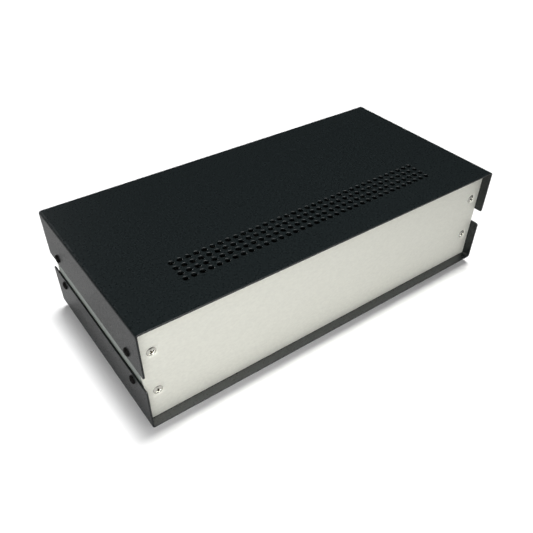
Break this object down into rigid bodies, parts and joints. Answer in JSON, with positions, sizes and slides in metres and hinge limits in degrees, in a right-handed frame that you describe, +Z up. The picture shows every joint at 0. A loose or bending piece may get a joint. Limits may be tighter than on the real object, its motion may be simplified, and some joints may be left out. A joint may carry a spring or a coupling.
{
  "type": "project enclosure",
  "caption": "Flat desktop case of two folded black steel covers over bare side rails, with set-back blank aluminium panels, a vent field on top and rubber feet.",
  "frame": {"origin": "centre of the case's footprint, on the surface that its rubber feet stand on", "axes": "+Z up, front panel faces -Y, +X to the right of someone looking at the front panel"},
  "size_m": [0.3064, 0.148, 0.088],
  "materials": {
    "black_powder_coat": "fine satin powder coat",
    "brushed_aluminium": "satin, brushed lengthways",
    "bare_steel": "bright zinc-plated sheet",
    "plated_screw": "bright nickel",
    "black_screw": "black oxide",
    "plated_nut": "zinc-plated",
    "foot_rubber": "matte moulded"
  },
  "bodies": {
    "root": {"top_cover": "black_powder_coat", "bottom_cover": "black_powder_coat", "front_panel": "brushed_aluminium", "rear_panel": "brushed_aluminium", "left_side_rail": "bare_steel", "right_side_rail": "bare_steel", "front_panel_screws": "plated_screw", "rear_panel_screws": "plated_screw", "top_cover_screws": "black_screw", "bottom_cover_screws": "black_screw", "front_panel_nuts": "plated_nut", "rear_panel_nuts": "plated_nut", "left_rail_nuts": "plated_nut", "right_rail_nuts": "plated_nut", "foot_screws": "plated_nut", "foot_washers": "plated_nut", "foot_nuts": "plated_nut", "foot_front_left": "foot_rubber", "foot_front_right": "foot_rubber", "foot_rear_left": "foot_rubber", "foot_rear_right": "foot_rubber"}
  },
  "joints": []
}
